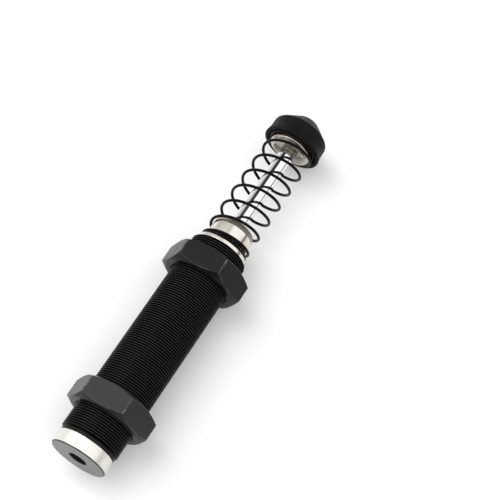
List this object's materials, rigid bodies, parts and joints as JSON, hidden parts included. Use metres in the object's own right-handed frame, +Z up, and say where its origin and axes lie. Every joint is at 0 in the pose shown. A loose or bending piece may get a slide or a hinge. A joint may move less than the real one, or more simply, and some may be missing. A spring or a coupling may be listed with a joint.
{
  "type": "industrial shock absorber",
  "caption": "Threaded hydraulic shock absorber with two hexagon lock nuts, a sprung piston rod and a conical bumper cap; it stops a moving load at the end of its travel.",
  "frame": {"origin": "centre of the flat rear end face, on the axis", "axes": "+X along the axis from the rear end face to the bumper, the way the rod comes out; +Z up, with the lower flats of both lock nuts level, as the part lies in the picture"},
  "size_m": [0.2529, 0.0532, 0.046],
  "materials": {
    "black_thread": "black nitrided steel, satin, screw thread",
    "black_nut": "black-oxide steel, satin",
    "spring_wire": "black coated spring wire, half gloss",
    "nickel": "turned steel, bright nickel plate",
    "hard_chrome": "ground and hard-chromed rod",
    "dark_steel": "hardened steel, dark",
    "inner_steel": "turned steel, oiled",
    "bearing_bronze": "bronze, smooth",
    "seal_rubber": "nitrile rubber",
    "foam": "closed-cell foam",
    "bumper": "black elastomer plastic, matte"
  },
  "bodies": {
    "casing": {"outer_tube": "black_thread", "rear_plug": "nickel", "rear_o_ring": "seal_rubber", "fill_screw": "dark_steel", "fill_seal": "seal_rubber", "pressure_tube": "inner_steel", "rod_guide": "inner_steel", "guide_bush": "bearing_bronze", "accumulator_foam": "foam", "seal_carrier": "inner_steel", "carrier_o_ring": "seal_rubber", "rod_seal": "seal_rubber", "retaining_ring": "dark_steel", "stop_collar": "nickel", "rod_wiper": "seal_rubber", "return_spring": "spring_wire"},
    "rod": {"piston_rod": "hard_chrome", "piston": "inner_steel", "piston_washer": "inner_steel", "piston_nut": "dark_steel", "rod_button": "nickel", "bumper_cap": "bumper"},
    "check_ring": {"check_ring": "inner_steel"},
    "front_nut": {"front_nut": "black_nut"},
    "rear_nut": {"rear_nut": "black_nut"}
  },
  "joints": [
    {"name": "rod_slide", "type": "slide", "parent": "casing", "child": "rod", "axis": [-1, 0, 0], "range_m": [0, 0.06], "stiffness_N_per_m": 660, "springref_m": -0.045, "deforming": ["return_spring"]},
    {"name": "check_ring_float", "type": "slide", "parent": "rod", "child": "check_ring", "axis": [1, 0, 0], "range_m": [0, 0.0008]},
    {"name": "front_nut_travel", "type": "slide", "parent": "casing", "child": "front_nut", "axis": [1, 0, 0], "range_m": [-0.035, 0.007]},
    {"name": "rear_nut_travel", "type": "slide", "parent": "casing", "child": "rear_nut", "axis": [1, 0, 0], "range_m": [-0.012, 0.035]}
  ]
}
